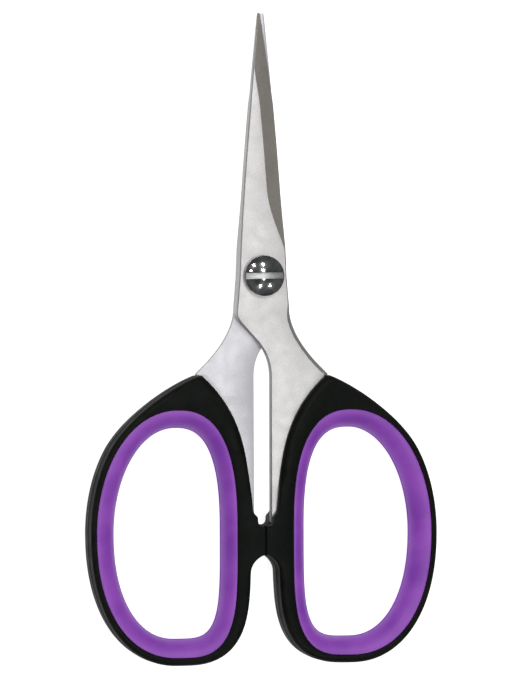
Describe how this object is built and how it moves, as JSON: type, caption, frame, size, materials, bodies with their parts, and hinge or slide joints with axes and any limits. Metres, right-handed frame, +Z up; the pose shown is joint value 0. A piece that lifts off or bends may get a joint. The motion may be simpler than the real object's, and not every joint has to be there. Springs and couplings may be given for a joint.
{
  "type": "craft scissors",
  "caption": "Small pointed craft scissors with straight ground blades, a slotted pivot screw and oval finger bows lined with soft inserts.",
  "frame": {"origin": "on the table under the middle of the closed scissors, which lie flat", "axes": "+Y towards the tips, +Z up out of the face with the slotted screw head, +X to the right seen from above"},
  "size_m": [0.0754, 0.1388, 0.0093],
  "materials": {
    "blade_steel": "fine satin with a darker ground bevel",
    "handle_plastic": "satin moulded black",
    "liner_rubber": "soft satin purple",
    "screw_chrome": "polished",
    "washer_steel": "stamped",
    "nut_steel": "turned, plated"
  },
  "bodies": {
    "rear_half": {"rear_blade": "blade_steel", "left_handle": "handle_plastic", "left_grip_liner": "liner_rubber", "pivot_nut": "nut_steel"},
    "front_half": {"front_blade": "blade_steel", "right_handle": "handle_plastic", "right_grip_liner": "liner_rubber"},
    "screw": {"pivot_screw": "screw_chrome", "head_washer": "washer_steel"}
  },
  "joints": [
    {"name": "blade_pivot", "type": "hinge", "parent": "rear_half", "child": "front_half", "pos_m": [0, 0.01325, 0.0045], "axis": [0, 0, 1], "range_deg": [0, 130]},
    {"name": "screw_turn", "type": "hinge", "parent": "rear_half", "child": "screw", "pos_m": [0, 0.01325, 0.0045], "axis": [0, 0, 1], "range_deg": [-45, 45]}
  ]
}
